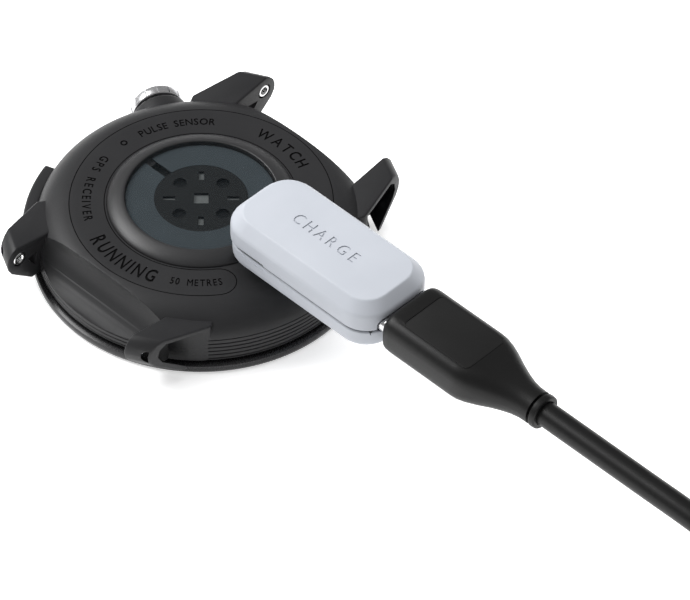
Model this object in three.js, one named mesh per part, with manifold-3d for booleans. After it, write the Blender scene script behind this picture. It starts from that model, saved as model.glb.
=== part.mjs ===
// A GPS running watch without its strap, lying on its display, with a charging adapter
// clipped to the caseback and a USB cable plugged into the adapter.
//
// Millimetres. The origin is the centre of the display glass's outer face, +Z points out of
// the caseback, +Y is twelve o'clock and +X is nine o'clock, where the charging port sits.

import * as THREE from "three";
import { mergeVertices } from "three/addons/utils/BufferGeometryUtils.js";
import Module from "manifold-3d";

const wasm = await Module();
wasm.setup();

// ---- driving dimensions -------------------------------------------------------------------

const gap = 0.3; // clearance between neighbouring solids
const fineSegments = 64;
const smallSegments = 20;

const bezelRadius = 23;
const bezelHeight = 1.6;
const glassRadius = 19.3;
const glassThickness = 1;

const caseRadius = 22.3;
const caseFoot = 1.9; // underside of the case shell, just above the bezel
const caseBack = 9.5; // flat engraved band of the caseback
const shoulderRun = 5.55; // the shoulder is a quarter of an ellipse
const shoulderRise = 4.5;
const cavityRadius = 20.8;
const cavityTop = 8.2;
const cavityHalfLength = 17.2; // the cavity is flattened beside the strap gaps

const strapWidth = 22.1; // between the lugs' inner faces
const strapPinReach = 22.95;
const strapPinHeight = 6.85;
const lugAngle = 62.6; // direction in which a lug leaves the case
const lugReach = 27.45;
const lugPlateThickness = 1.45;
const scoopReach = 22.5; // centre of the round recess for the strap's end
const scoopHeight = 8;
const scoopRadius = 4.3;

const collarRadius = 12.6;
const collarLedge = 8.9; // height at which the sensor opening narrows
const boardHoleRadius = 11.2; // the opening below that ledge
const lensRadius = 9.95;
const lensEdge = 10.7;
const lensCrown = 11.35;

const controlHeight = 4.1; // axis of the crown and of the button
const crownAngle = 150;
const buttonAngle = 210;
const crownRadius = 3.75;
const crownSeat = 22.95; // face of the case's boss behind the crown
const crownTravel = 0.35;

const portX = 15.4;
const portLength = 8.6; // along Y
const portWidth = 3.4; // along X
const portSleeveFoot = 6.7;
const portBlockTop = 7.3;
const contactPitch = 2;

const adapterStart = 9.7;
const adapterEnd = 37.4;
const adapterHalfWidth = 6.7;
const adapterFloor = 11.2;
const adapterSeam = 14.4;
const adapterTop = 19;
const adapterCorner = 4.3;

const socketHeight = 15.26; // centre of the USB socket, plug and cable
const plugStart = 38.2;
const cableDiameter = 3.43;

const coilCentre = [134, 0];
const coilMeanRadius = 19;
const coilColumns = 4;
const coilLayers = 2;

// ---- materials ----------------------------------------------------------------------------

const finish = (color, roughness, metalness = 0, extra = {}) =>
  new THREE.MeshStandardMaterial({ color, roughness, metalness, ...extra });

const caseFinish = () => finish(0x3a3a3c, 0.62);
const bezelFinish = () => finish(0x2b2b2e, 0.35, 0.4);
const gasketFinish = () => finish(0x151515, 0.85);
const steelFinish = () => finish(0xb9bbbe, 0.28, 1);
const crownFinish = () => finish(0xb4b6b8, 0.35, 1);
const darkGlassFinish = () => finish(0x23282c, 0.08, 0, { transparent: true, opacity: 0.55 });
const displayFinish = () => finish(0x050506, 0.1);
const boardFinish = () => finish(0x16402a, 0.55);
const goldFinish = () => finish(0xc9a24a, 0.3, 1);
const batteryFinish = () => finish(0x9a9da1, 0.4, 0.6);
const whiteFinish = () => finish(0xdfe3eb, 0.5);
const plugFinish = () => finish(0x1c1c1c, 0.6);
const ledFinish = () => finish(0xc7cfcb, 0.35);
const sensorFinish = () => finish(0x1a2430, 0.25);

// ---- solids -------------------------------------------------------------------------------

// A closed mesh with merged vertices, no collapsed triangles, and its faces turned outwards.
function closedIndex(geometry) {
  const bare = geometry.index ? geometry.toNonIndexed() : geometry.clone();
  bare.deleteAttribute("normal");
  bare.deleteAttribute("uv");
  const merged = mergeVertices(bare, 1e-4);
  const position = merged.attributes.position;
  const index = merged.index.array;
  const triangles = [];
  let volume = 0;
  const corner = [new THREE.Vector3(), new THREE.Vector3(), new THREE.Vector3()];
  for (let i = 0; i < index.length; i += 3) {
    const [a, b, c] = [index[i], index[i + 1], index[i + 2]];
    if (a === b || b === c || c === a) continue;
    [a, b, c].forEach((vertex, k) => corner[k].fromBufferAttribute(position, vertex));
    volume += corner[0].dot(corner[1].clone().cross(corner[2]));
    triangles.push(a, b, c);
  }
  if (volume < 0) {
    for (let i = 0; i < triangles.length; i += 3) {
      [triangles[i + 1], triangles[i + 2]] = [triangles[i + 2], triangles[i + 1]];
    }
  }
  return { position: position.array, triangles };
}

function solid(geometry) {
  const { position, triangles } = closedIndex(geometry);
  return new wasm.Manifold(
    new wasm.Mesh({
      numProp: 3,
      vertProperties: new Float32Array(position),
      triVerts: new Uint32Array(triangles),
    }),
  );
}

function geometryOf(manifold) {
  const { vertProperties, triVerts, numProp } = manifold.getMesh();
  const geometry = new THREE.BufferGeometry();
  const position = new Float32Array((vertProperties.length / numProp) * 3);
  for (let i = 0; i < position.length / 3; i += 1) {
    for (let k = 0; k < 3; k += 1) position[3 * i + k] = vertProperties[numProp * i + k];
  }
  geometry.setAttribute("position", new THREE.BufferAttribute(position, 3));
  geometry.setIndex([...triVerts]);
  geometry.computeVertexNormals();
  return geometry;
}

function part(name, shape, material) {
  const manifold = shape instanceof THREE.BufferGeometry ? solid(shape) : shape;
  const mesh = new THREE.Mesh(geometryOf(manifold), material);
  mesh.name = name;
  return mesh;
}

// Turns [radius, height] points about Z. The outline starts and ends on the axis or closes.
function turned(outline, segments = fineSegments) {
  const points = outline.map(([r, z]) => new THREE.Vector2(r, z));
  return new THREE.LatheGeometry(points, segments).rotateX(Math.PI / 2);
}

const disc = (radius, low, high, segments) =>
  turned([[0, low], [radius, low], [radius, high], [0, high]], segments);

const ring = (inner, outer, low, high, segments) =>
  turned([[inner, low], [outer, low], [outer, high], [inner, high], [inner, low]], segments);

const box = (low, high) =>
  new THREE.BoxGeometry(high[0] - low[0], high[1] - low[1], high[2] - low[2]).translate(
    (low[0] + high[0]) / 2,
    (low[1] + high[1]) / 2,
    (low[2] + high[2]) / 2,
  );

// An outline in X and Y, raised from low to high.
const raised = (shape, low, high, curveSegments = 6) =>
  new THREE.ExtrudeGeometry(shape, { depth: high - low, bevelEnabled: false, curveSegments })
    .translate(0, 0, low);

const outlineOf = (points) => new THREE.Shape(points.map(([x, y]) => new THREE.Vector2(x, y)));

function roundedRectangle(x0, y0, x1, y1, r) {
  const shape = new THREE.Shape();
  shape.moveTo(x0 + r, y0);
  shape.lineTo(x1 - r, y0);
  shape.absarc(x1 - r, y0 + r, r, -Math.PI / 2, 0);
  shape.lineTo(x1, y1 - r);
  shape.absarc(x1 - r, y1 - r, r, 0, Math.PI / 2);
  shape.lineTo(x0 + r, y1);
  shape.absarc(x0 + r, y1 - r, r, Math.PI / 2, Math.PI);
  shape.lineTo(x0, y0 + r);
  shape.absarc(x0 + r, y0 + r, r, Math.PI, 1.5 * Math.PI);
  return shape;
}

// A sector of a flat ring, spreading to both sides of the +X axis.
function sector(inner, outer, halfAngle, low, high, steps = 16) {
  const points = [];
  for (let i = 0; i <= steps; i += 1) {
    const angle = radians(halfAngle * ((2 * i) / steps - 1));
    points.push([outer * Math.cos(angle), outer * Math.sin(angle)]);
  }
  for (let i = steps; i >= 0; i -= 1) {
    const angle = radians(halfAngle * ((2 * i) / steps - 1));
    points.push([inner * Math.cos(angle), inner * Math.sin(angle)]);
  }
  return raised(outlineOf(points), low, high);
}

// A rod, disc or tube whose axis runs along +X at the given y and z.
function alongX(outline, y = 0, z = 0, segments = smallSegments) {
  return turned(outline, segments).rotateY(Math.PI / 2).translate(0, y, z);
}

const rodX = (radius, start, end, y = 0, z = 0, segments = smallSegments) =>
  alongX([[0, start], [radius, start], [radius, end], [0, end]], y, z, segments);

const tubeX = (inner, outer, start, end, y = 0, z = 0, segments = smallSegments) =>
  alongX(
    [[inner, start], [outer, start], [outer, end], [inner, end], [inner, start]],
    y,
    z,
    segments,
  );

const radians = (degrees) => THREE.MathUtils.degToRad(degrees);
const turnedTo = (geometry, degrees) => geometry.clone().rotateZ(radians(degrees));

function joined(first, ...rest) {
  return rest.reduce((sum, next) => sum.add(next), first);
}

// ---- display side -------------------------------------------------------------------------

function displayParts() {
  const ledge = glassThickness + gap;
  const bezel = turned([
    [glassRadius + gap, 0], [21.7, 0], [22.6, 0.25], [bezelRadius, 0.8], [bezelRadius, 1.2],
    [22.7, bezelHeight], [18, bezelHeight], [18, ledge], [glassRadius + gap, ledge],
    [glassRadius + gap, 0],
  ]);
  return [
    part("bezel_ring", bezel, bezelFinish()),
    part("display_glass", disc(glassRadius, 0, glassThickness), darkGlassFinish()),
    part("display_panel", disc(17.3, ledge, 2), displayFinish()),
    part("case_gasket", ring(18.4, 20.3, 1.9, 2.3), gasketFinish()),
    part("display_frame", disc(17.6, 2.6, 3.2), steelFinish()),
  ];
}

// ---- case shell with its four lugs --------------------------------------------------------

function shoulderOutline() {
  const points = [];
  const steps = 9;
  for (let i = 0; i <= steps; i += 1) {
    const angle = (i / steps) * (Math.PI / 2);
    const r = caseRadius - shoulderRun * (1 - Math.cos(angle));
    points.push([r, caseBack - shoulderRise * (1 - Math.sin(angle))]);
  }
  return points;
}

// The charging port's outline, grown by an amount.
function portOutline(grow) {
  const halfX = portWidth / 2 + grow;
  const halfY = portLength / 2 + grow;
  return roundedRectangle(portX - halfX, -halfY, portX + halfX, halfY, 1.4 + grow);
}

// The side view of a lug: radius from the watch's centre against height.
const lugSide = [
  [17, caseFoot], [23.7, caseFoot], [26.8, 4.9], [lugReach - 0.1, 6], [lugReach, 6.9],
  [lugReach - 0.25, 7.9], [lugReach - 0.9, 8.75], [lugReach - 1.7, 9.1], [20, 8], [17, 7.6],
];
const lugPocket = [
  [19.5, 7.3], [25.6, 8.3], [26.3, 7.6], [26.5, 6.4], [26, 5.2], [23.4, 2.6], [22.9, 1], [19.5, 1],
];

// Extrudes a side view along the direction across the lug, which points out at lugAngle.
function lugPrism(side) {
  const across = 14;
  return new THREE.ExtrudeGeometry(outlineOf(side), { depth: across, bevelEnabled: false })
    .translate(0, 0, -across / 2)
    .rotateX(Math.PI / 2)
    .rotateZ(radians(lugAngle));
}

function lugPlan() {
  const inner = strapWidth / 2;
  const shape = new THREE.Shape();
  const start = Math.acos(14.3 / lugReach);
  const end = Math.acos(inner / lugReach);
  shape.moveTo(inner, 12);
  shape.lineTo(16.8, 13.6);
  shape.lineTo(lugReach * Math.cos(start), lugReach * Math.sin(start));
  shape.absarc(0, 0, lugReach, start, end);
  shape.lineTo(inner, 12);
  return shape;
}

function lug() {
  const inner = strapWidth / 2;
  const plate = inner + lugPlateThickness;
  const body = solid(raised(lugPlan(), 0, 12)).intersect(solid(lugPrism(lugSide)));
  const outside = solid(box([plate, 14, 0], [20, 30, 12]));
  const pocket = solid(lugPrism(lugPocket))
    .intersect(outside)
    .subtract(solid(disc(caseRadius + 0.1, 0, 12)));
  const pinHole = solid(rodX(1.3, inner - 1, plate + 1, strapPinReach, strapPinHeight));
  const window = new THREE.ExtrudeGeometry(
    outlineOf([[19.9, 6.1], [21.5, 5.9], [20.3, 4.1]]),
    { depth: 4, bevelEnabled: false },
  );
  window.applyMatrix4(
    new THREE.Matrix4().makeBasis(
      new THREE.Vector3(0, 1, 0),
      new THREE.Vector3(0, 0, 1),
      new THREE.Vector3(1, 0, 0),
    ),
  );
  window.translate(inner - 1, 0, 0);
  return geometryOf(body.subtract(pocket).subtract(pinHole).subtract(solid(window)));
}

const quarters = [[1, 1], [-1, 1], [-1, -1], [1, -1]];

const mirrored = (geometry, [x, y]) => solid(geometry.clone().scale(x, y, 1));

function caseShell() {
  const inner = strapWidth / 2;
  const collarHole = collarRadius + gap;
  const outer = turned([
    [0, caseFoot], [caseRadius, caseFoot], ...shoulderOutline(), [0, caseBack],
  ]);
  let shell = solid(outer);

  const crownBoss = solid(turnedTo(rodX(4, 18, crownSeat, 0, controlHeight, 32), crownAngle));
  shell = shell.add(crownBoss.subtract(solid(box([-30, -30, -2], [30, 30, caseFoot]))));

  for (const side of [1, -1]) {
    const scoop = rodX(scoopRadius, -inner, inner, side * scoopReach, scoopHeight, 48);
    shell = shell.subtract(solid(scoop));
  }

  const lower = solid(disc(cavityRadius, 0, 3.4));
  const sleeve = solid(raised(portOutline(gap + 0.6), portSleeveFoot, 12));
  const upper = solid(
    turned([[0, 3], [20.6, 3], [20.6, 6.2], [18.8, cavityTop], [0, cavityTop]]),
  ).intersect(
    solid(box([-25, -cavityHalfLength, 2], [25, cavityHalfLength, 12])),
  ).subtract(sleeve);
  const opening = turned([
    [0, 7], [boardHoleRadius, 7], [boardHoleRadius, collarLedge], [collarHole, collarLedge],
    [collarHole, 12], [0, 12],
  ]);
  const port = raised(portOutline(gap), 6, 12);
  const crownHole = turnedTo(rodX(1.8, 19, 24, 0, controlHeight), crownAngle);
  const buttonSlot = turnedTo(sector(21.4, 25, 15, 2.4, 5.8), buttonAngle);
  const stemHole = turnedTo(rodX(1.7, 19, 23, 0, controlHeight), buttonAngle);
  for (const cutter of [opening, port, crownHole, buttonSlot, stemHole]) {
    shell = shell.subtract(solid(cutter));
  }
  for (const side of [-1, 1]) {
    const pinHole = turnedTo(rodX(0.9, 19, 23, side * 3.6, controlHeight, 12), buttonAngle);
    shell = shell.subtract(solid(pinHole));
  }
  shell = shell.subtract(lower).subtract(upper);

  const arm = lug();
  const hollow = solid(disc(cavityRadius, 0, 9));
  const arms = quarters.map((quarter) => mirrored(arm, quarter).subtract(hollow));
  return joined(shell, ...arms);
}

function lugBushings() {
  const inner = strapWidth / 2;
  return quarters.map(([x, y], i) => {
    const tube = tubeX(0.55, 1, inner + 0.05, inner + lugPlateThickness - 0.05, strapPinReach,
      strapPinHeight);
    return part(`lug_bushing_${i + 1}`, mirrored(tube, [x, y]), steelFinish());
  });
}

// ---- inside the case ----------------------------------------------------------------------

function innerParts() {
  const battery = raised(roundedRectangle(-4, -8.8, 12, 8.8, 2), 4.5, 7.5);
  const antenna = sector(17.6, 19.4, 48, 4.5, 6.4);
  const motor = disc(3.5, 4.5, 7, 32).translate(0, 13, 0);
  return [
    part("main_board", disc(16.4, 3.5, 4.2, 48), boardFinish()),
    part("processor_shield", box([-13, -6, 4.5], [-5.5, 6, 5.9]), steelFinish()),
    part("gps_antenna", antenna, goldFinish()),
    part("battery", battery, batteryFinish()),
    part("vibration_motor", motor, steelFinish()),
  ];
}

// ---- heart-rate sensor --------------------------------------------------------------------

function sensorParts() {
  const collar = turned([
    [9, 9.2], [collarRadius, 9.2], [collarRadius, 9.65], [12.25, 10.05], [11.6, 10.42],
    [10.9, 10.66], [lensRadius + gap, 10.72], [lensRadius + gap, 9.7], [9, 9.7], [9, 9.2],
  ]);
  const lens = turned([
    [0, 10], [lensRadius, 10], [lensRadius, lensEdge - 0.15], [lensRadius - 0.2, lensEdge],
    [8, 10.93], [5, lensCrown - 0.16], [0, lensCrown],
  ]);
  const group = [
    part("sensor_collar", collar, caseFinish()),
    part("sensor_glass", lens, darkGlassFinish()),
    part("sensor_board", disc(10.6, 8.2, 8.8, 48), boardFinish()),
  ];
  const elementBase = 9.1;
  const elementTop = 9.6;
  const ledReach = 4.3; // distance of the outer emitters and of the photodiodes from the centre
  const diodeReach = 4.1;
  for (let i = 0; i < 4; i += 1) {
    const angle = radians(45 + 90 * i);
    const led = box([ledReach - 0.8, -0.35, elementBase], [ledReach + 0.8, 0.35, elementTop]);
    led.rotateZ(angle);
    group.push(part(`sensor_led_${i + 1}`, led, ledFinish()));
    const diode = disc(0.9, elementBase, elementTop, 16);
    diode.translate(diodeReach, 0, 0).rotateZ(radians(90 * i));
    group.push(part(`photodiode_${i + 1}`, diode, sensorFinish()));
  }
  const centre = box([-1, -1, elementBase], [1, 1, elementTop]).rotateZ(radians(45));
  group.push(part("sensor_led_centre", centre, ledFinish()));
  return group;
}

// ---- charging port ------------------------------------------------------------------------

function contactPads(radius, low, high, barLow, barHigh) {
  const bar = box([portX - 0.35, -3.4, barLow], [portX + 0.35, 3.4, barHigh]);
  const pads = [-1.5, -0.5, 0.5, 1.5].map((step) =>
    solid(disc(radius, low, high, 12).translate(portX, step * contactPitch, 0)),
  );
  return joined(solid(bar), ...pads);
}

function portParts() {
  const padBase = portBlockTop + gap;
  const pads = contactPads(0.6, padBase, padBase + 0.15, padBase, padBase + 0.1);
  return [
    part("charging_port_block", raised(portOutline(0), portSleeveFoot, portBlockTop), gasketFinish()),
    part("port_contacts", pads, goldFinish()),
  ];
}

// ---- crown and button ---------------------------------------------------------------------

// Both are drawn pointing along +X at z = 0 and are turned to their place by their group.
function crownFixed() {
  return [
    part("crown_bush", tubeX(0.9, 1.5, 21.9, 22.6), steelFinish()),
    part("crown_seal", tubeX(0.9, 1.5, 21, 21.6), gasketFinish()),
    part("crown_switch", box([16.9, -1.4, -0.6], [17.2, 1.4, 1.2]), steelFinish()),
  ];
}

function crownPressed() {
  return [part("crown_retaining_clip", tubeX(0.9, 1.5, 19.9, 20.3), steelFinish())];
}

function crownTurning() {
  const back = crownSeat + crownTravel + 0.15;
  const grip = alongX(
    [
      [0.9, back], [crownRadius, back], [crownRadius, 24.9], [crownRadius - 0.25, 25.3],
      [2.9, 25.3], [2.9, 24.3], [0.9, 24.3], [0.9, back],
    ],
    0, 0, 36,
  );
  const endPlate = rodX(2.6, 24.6, 25.45, 0, 0, 28);
  return [
    part("crown_grip_ring", grip, crownFinish()),
    part("crown_end_plate", endPlate, bezelFinish()),
    part("crown_stem", rodX(0.6, 18, 24.3), steelFinish()),
    part("crown_encoder_wheel", tubeX(0.9, 1.5, 18.3, 18.8), steelFinish()),
  ];
}

function buttonFixed() {
  return [
    part("button_seal", tubeX(0.95, 1.4, 20.9, 21.3), gasketFinish()),
    part("button_switch", box([17.8, -1.3, -0.6], [18.2, 1.3, 1.2]), steelFinish()),
  ];
}

function buttonMoving() {
  const cap = sector(22.2, 24.1, 13, -1.4, 1.4, 14);
  const group = [
    part("button_cap", cap, caseFinish()),
    part("button_stem", rodX(0.6, 19, 21.9), steelFinish()),
  ];
  for (const side of [-1, 1]) {
    const pin = rodX(0.55, 20.2, 21.5, side * 3.6, 0, 12);
    group.push(part(`button_guide_pin_${side < 0 ? 1 : 2}`, pin, steelFinish()));
  }
  return group;
}

// ---- charging adapter ---------------------------------------------------------------------

const receptacleHalf = [4.75, 1.65];
const socketBack = 28.3;
const socketFront = 36.2;
const adapterWall = 1.1;

function adapterOutline(inset) {
  return roundedRectangle(
    adapterStart + inset, -adapterHalfWidth + inset,
    adapterEnd - inset, adapterHalfWidth - inset, adapterCorner - inset,
  );
}

// The receptacle's clearance through the adapter's end wall.
function socketOpening() {
  const [halfWidth, halfHeight] = receptacleHalf;
  return solid(
    box(
      [socketBack - gap, -halfWidth - gap, socketHeight - halfHeight - gap],
      [40, halfWidth + gap, socketHeight + halfHeight + gap],
    ),
  );
}

function adapterTopShell() {
  const bevelSide = 1.3;
  const bevelDrop = 1.7;
  const crowned = new THREE.ExtrudeGeometry(adapterOutline(bevelSide), {
    depth: adapterTop - adapterSeam,
    bevelThickness: bevelDrop,
    bevelSize: bevelSide,
    bevelSegments: 1,
    curveSegments: 6,
  }).translate(0, 0, adapterSeam - bevelDrop);
  const aboveSeam = box([0, -10, adapterSeam + gap / 2], [50, 10, 30]);
  const inside = raised(adapterOutline(adapterWall), 10, adapterTop - 2.2);
  return solid(crowned).intersect(solid(aboveSeam)).subtract(solid(inside))
    .subtract(socketOpening());
}

function adapterBottomShell() {
  const outer = raised(adapterOutline(0.2), adapterFloor, adapterSeam - gap / 2);
  const inside = raised(adapterOutline(adapterWall), adapterFloor + 1, 20);
  const nose = box([portX - 1.7, -4.3, 10], [portX + 1.7, 4.3, 14]);
  return solid(outer).subtract(solid(inside)).subtract(solid(nose)).subtract(socketOpening());
}

function adapterParts() {
  const noseTop = 12.5;
  const noseBottom = portBlockTop + 0.95;
  let nose = solid(box([portX - 1.4, -4, noseBottom], [portX + 1.4, 4, noseTop]));
  for (const step of [-1.5, -0.5, 0.5, 1.5]) {
    const hole = disc(0.75, 7, 14, 12).translate(portX, step * contactPitch, 0);
    nose = nose.subtract(solid(hole));
  }
  const [halfWidth, halfHeight] = receptacleHalf;
  const wall = 0.2;
  const shellOuter = box(
    [socketBack, -halfWidth, socketHeight - halfHeight],
    [socketFront, halfWidth, socketHeight + halfHeight],
  );
  const shellInner = box(
    [socketBack + wall, -halfWidth + wall, socketHeight - halfHeight + wall],
    [40, halfWidth - wall, socketHeight + halfHeight - wall],
  );
  const board = raised(roundedRectangle(13.2, -4.8, 27.9, 4.8, 3), 13.25, 14.05);
  const pins = contactPads(0.45, noseBottom - 0.2, 12.95, 12.8, 12.95);
  return [
    part("adapter_top_shell", adapterTopShell(), whiteFinish()),
    part("adapter_bottom_shell", adapterBottomShell(), whiteFinish()),
    part("adapter_board", board, boardFinish()),
    part("adapter_contact_nose", nose, whiteFinish()),
    part("adapter_spring_pins", pins, goldFinish()),
    part("usb_receptacle", solid(shellOuter).subtract(solid(shellInner)), steelFinish()),
  ];
}

// ---- USB plugs ----------------------------------------------------------------------------

// A plug drawn along +X with its metal shell's mouth at x = 0, centred on the X axis.
const plugShellLength = 8.5;
const plugBodyStart = 8.8;
const plugBodyLength = 23.1;
const plugBodyHalf = [5.2, 3.1];
const plugNeckRadius = 2.35;

function plugShell() {
  const outer = raised(roundedRectangle(-4.12, -1.2, 4.12, 1.2, 1.19), 0, plugShellLength);
  const inner = raised(roundedRectangle(-3.82, -0.9, 3.82, 0.9, 0.89), -1, plugShellLength - 1);
  const shell = geometryOf(solid(outer).subtract(solid(inner)));
  return shell.rotateX(Math.PI / 2).rotateZ(Math.PI / 2);
}

// Half of the body's outline, from its full width to its neck, as seen from one side.
function plugProfile(half) {
  const shoulder = plugBodyStart + 12.2;
  const neck = plugBodyStart + plugBodyLength - 1.5;
  const end = plugBodyStart + plugBodyLength;
  const bend = (neck - shoulder) / 2;
  const shape = new THREE.Shape();
  shape.moveTo(plugBodyStart, -half);
  shape.lineTo(shoulder, -half);
  shape.bezierCurveTo(shoulder + bend, -half, neck - bend, -plugNeckRadius, neck, -plugNeckRadius);
  shape.lineTo(end, -plugNeckRadius);
  shape.lineTo(end, plugNeckRadius);
  shape.lineTo(neck, plugNeckRadius);
  shape.bezierCurveTo(neck - bend, plugNeckRadius, shoulder + bend, half, shoulder, half);
  shape.lineTo(plugBodyStart, half);
  return shape;
}

function plugBody() {
  const [halfWidth, halfHeight] = plugBodyHalf;
  const plan = raised(plugProfile(halfWidth), -4, 4);
  const side = raised(plugProfile(halfHeight), -8, 8).rotateX(Math.PI / 2);
  const rim = roundedRectangle(-halfWidth, -halfHeight, halfWidth, halfHeight, 2.6);
  const section = raised(rim, 0, 40, 5).rotateX(Math.PI / 2).rotateZ(Math.PI / 2);
  const bore = rodX(plugNeckRadius - 0.35, plugBodyStart + plugBodyLength - 1.2, 40);
  return solid(plan).intersect(solid(side)).intersect(solid(section)).subtract(solid(bore));
}

function plugCollar() {
  const start = plugBodyStart + plugBodyLength + gap;
  return alongX([
    [2, start], [plugNeckRadius, start], [plugNeckRadius + 0.1, start + 1],
    [2, start + 1], [2, start],
  ]);
}

function plugParts(prefix) {
  return [
    part(`${prefix}_shell`, plugShell(), steelFinish()),
    part(`${prefix}_body`, plugBody(), plugFinish()),
    part(`${prefix}_strain_collar`, plugCollar(), plugFinish()),
  ];
}

// ---- cable --------------------------------------------------------------------------------

const plugLength = plugBodyStart + plugBodyLength + gap + 1;
const plugMouth = plugStart - plugBodyStart;

// The cable's path from the plug down to the edge of the coil, whose upper turns it joins.
const leadRoute = [
  [plugMouth + plugLength + gap, 0, socketHeight],
  [72, 0, socketHeight],
  [80, 0, socketHeight],
  [88, 0, socketHeight],
  [91.5, 0, 15.07],
  [95, -0.3, 14.47],
  [98.4, -1.2, 13.46],
  [101.5, -2.6, 11.98],
  [104.4, -4.6, 9.97],
  [106.3, -6.4, 8.55],
];

// From the coil's lowest outer turn to the far plug, which lies beside the coil.
const tailRoute = [
  [138.2, 28, 2.58],
  [134.8, 30.1, 2.88],
  [130.9, 31.6, 3.11],
  [126.7, 32.1, 3.2],
];

const farPlugMouth = [126.7 - gap - plugLength, 32.1, 3.2];

function cableTube(route, steps) {
  const path = new THREE.CatmullRomCurve3(
    route.map(([x, y, z]) => new THREE.Vector3(x, y, z)), false, "centripetal",
  );
  const section = new THREE.Shape();
  section.absarc(0, 0, cableDiameter / 2, 0, 2 * Math.PI);
  return new THREE.ExtrudeGeometry(section, {
    steps, curveSegments: 4, extrudePath: path, bevelEnabled: false,
  });
}

function coilParts() {
  const halfWidth = (coilColumns * cableDiameter) / 2 + 0.1;
  const height = coilLayers * cableDiameter + 0.6; // the ties pass under the turns
  const inner = coilMeanRadius - halfWidth;
  const outer = coilMeanRadius + halfWidth;
  const bundle = turned([
    [inner, 0.5], [inner + 0.5, 0.05], [outer - 0.5, 0.05], [outer, 0.5],
    [outer, height - 0.5], [outer - 0.5, height], [inner + 0.5, height], [inner, height - 0.5],
    [inner, 0.5],
  ], 48);
  const half = 3;
  const strap = box([inner - 1.6, -half, 0], [outer + 1.1, half, height + 1.1]);
  const room = box([inner - 0.8, -half - 1, -1], [outer + gap, half + 1, height + gap]);
  const tie = geometryOf(solid(strap).subtract(solid(room)));
  return { bundle, ties: [-20, 160].map((angle) => turnedTo(tie, angle)) };
}

function cordParts() {
  const { bundle, ties } = coilParts();
  const [x, y] = coilCentre;
  return [
    part("cable_lead", cableTube(leadRoute, 14), plugFinish()),
    part("cable_coil", bundle.translate(x, y, 0), plugFinish()),
    part("cable_tail", cableTube(tailRoute, 6), plugFinish()),
    ...ties.map((tie, i) => part(`coil_tie_${i + 1}`, tie.translate(x, y, 0), gasketFinish())),
  ];
}

// ---- assembly -----------------------------------------------------------------------------

function placed(parts, { x = 0, y = 0, z = 0, turn = 0 } = {}) {
  const group = new THREE.Group();
  group.position.set(x, y, z);
  group.rotation.z = radians(turn);
  group.add(...parts);
  return group;
}

const watch = new THREE.Group();
watch.add(
  ...displayParts(),
  part("case_shell", caseShell(), caseFinish()),
  ...lugBushings(),
  ...innerParts(),
  ...sensorParts(),
  ...portParts(),
  placed([...crownFixed(), ...crownPressed(), ...crownTurning()], {
    z: controlHeight, turn: crownAngle,
  }),
  placed([...buttonFixed(), ...buttonMoving()], { z: controlHeight, turn: buttonAngle }),
);

const charger = new THREE.Group();
charger.add(
  ...adapterParts(),
  placed(plugParts("plug"), { x: plugMouth, z: socketHeight }),
  placed(plugParts("far_plug"), { x: farPlugMouth[0], y: farPlugMouth[1], z: farPlugMouth[2] }),
  ...cordParts(),
);

const assembly = new THREE.Group();
assembly.add(watch, charger);

export default assembly;
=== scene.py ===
import math

import bpy
from mathutils import Matrix, Vector


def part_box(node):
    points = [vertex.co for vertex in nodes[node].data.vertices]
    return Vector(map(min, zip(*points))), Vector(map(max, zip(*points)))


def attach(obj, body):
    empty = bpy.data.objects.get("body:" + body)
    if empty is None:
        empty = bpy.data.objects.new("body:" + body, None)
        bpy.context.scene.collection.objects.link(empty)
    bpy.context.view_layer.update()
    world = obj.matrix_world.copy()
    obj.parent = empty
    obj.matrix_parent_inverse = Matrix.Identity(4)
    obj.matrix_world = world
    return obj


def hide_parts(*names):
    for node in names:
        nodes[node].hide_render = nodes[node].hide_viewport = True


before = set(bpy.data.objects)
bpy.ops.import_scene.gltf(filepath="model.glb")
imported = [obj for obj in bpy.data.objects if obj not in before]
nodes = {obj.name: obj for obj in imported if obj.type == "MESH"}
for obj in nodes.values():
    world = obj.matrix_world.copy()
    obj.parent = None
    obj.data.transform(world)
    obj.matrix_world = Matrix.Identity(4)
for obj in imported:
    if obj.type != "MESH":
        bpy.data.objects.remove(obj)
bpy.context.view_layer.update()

mm = 0.001


def report(stage):
    print("scene:", stage)


# selection and small editing helpers

def deselect():
    if bpy.context.mode != "OBJECT":
        bpy.ops.object.mode_set(mode="OBJECT")
    bpy.ops.object.select_all(action="DESELECT")


def pick(piece):
    deselect()
    piece.select_set(True)
    bpy.context.view_layer.objects.active = piece


def edit(piece, mode="VERT"):
    pick(piece)
    bpy.ops.object.mode_set(mode="EDIT")
    bpy.ops.mesh.select_mode(type=mode)


def settle(piece):
    # place, turn and size go into the mesh, and the faces point outwards
    pick(piece)
    bpy.ops.object.transform_apply(location=True, rotation=True, scale=True)
    edit(piece)
    bpy.ops.mesh.select_all(action="SELECT")
    bpy.ops.mesh.remove_doubles(threshold=0.002 * mm)
    bpy.ops.mesh.normals_make_consistent(inside=False)
    deselect()


def outline(name, points, closed=False):
    # a plane shrunk to one vertex, drawn out from point to point
    deselect()
    bpy.ops.mesh.primitive_plane_add(size=0.001)
    piece = bpy.context.object
    piece.name = name
    bpy.ops.object.mode_set(mode="EDIT")
    bpy.ops.mesh.select_mode(type="VERT")
    bpy.ops.mesh.select_all(action="SELECT")
    bpy.ops.mesh.merge(type="CENTER")
    spots = [Vector(p) * mm for p in points]
    bpy.ops.transform.translate(value=spots[0])
    for here, there in zip(spots, spots[1:]):
        bpy.ops.mesh.extrude_region_move(TRANSFORM_OT_translate={"value": there - here})
    if closed:
        bpy.ops.mesh.select_all(action="SELECT")
        bpy.ops.mesh.edge_face_add()
    bpy.ops.object.mode_set(mode="OBJECT")
    return piece


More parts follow.
